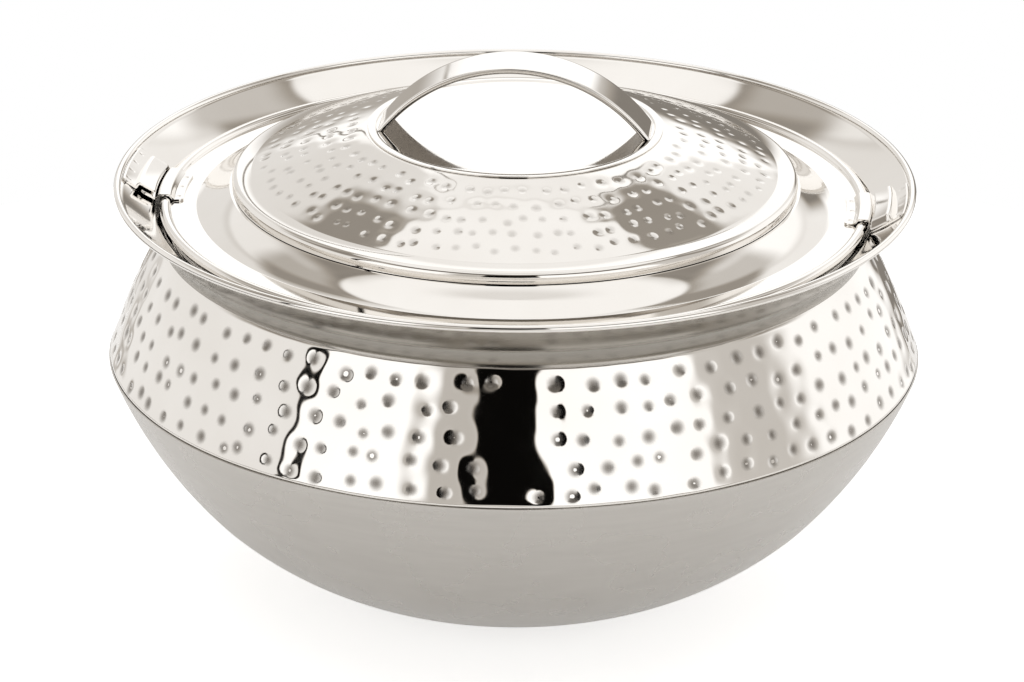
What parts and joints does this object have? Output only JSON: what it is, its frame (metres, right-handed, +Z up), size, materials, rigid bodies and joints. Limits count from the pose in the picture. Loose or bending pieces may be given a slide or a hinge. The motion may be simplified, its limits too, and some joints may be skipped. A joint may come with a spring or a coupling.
{
  "type": "insulated casserole",
  "caption": "Round double-wall insulated steel casserole with a hammered body and lid, a flared rim, a twist-lock lid and a fixed strap handle over a shallow polished dish.",
  "frame": {"origin": "on the table, under the middle of the base", "axes": "+Z up along the vessel's axis; the two lock brackets are centred on -X and +X; the pictured side faces -Y"},
  "size_m": [0.286, 0.286, 0.19],
  "materials": {
    "mirror_steel": "mirror-polished stainless steel",
    "satin_steel": "satin stainless steel",
    "foam": "rigid cellular foam, hidden between the shells",
    "seal": "soft white silicone",
    "plug": "dark moulded plastic"
  },
  "bodies": {
    "vessel": {"outer_bowl": "satin_steel", "foam_plug": "plug", "hammered_wall": "mirror_steel", "neck_collar": "mirror_steel", "flared_rim": "mirror_steel", "inner_pot": "satin_steel", "body_foam": "foam", "lock_bracket_right": "mirror_steel", "lock_bracket_left": "mirror_steel"},
    "seal": {"lid_seal": "seal"},
    "lid": {"lid_crown": "mirror_steel", "lid_skirt": "mirror_steel", "lid_pan": "satin_steel", "lid_foam": "foam", "recess_dish": "mirror_steel", "handle_strap": "mirror_steel", "lock_lug_right": "mirror_steel", "lock_lug_left": "mirror_steel"}
  },
  "joints": [
    {"name": "lid_lift", "type": "slide", "parent": "vessel", "child": "seal", "axis": [0, 0, 1], "range_m": [0, 0.09]},
    {"name": "lid_turn", "type": "hinge", "parent": "seal", "child": "lid", "pos_m": [0, 0, 0.138], "axis": [0, 0, 1], "range_deg": [0, 160]}
  ]
}
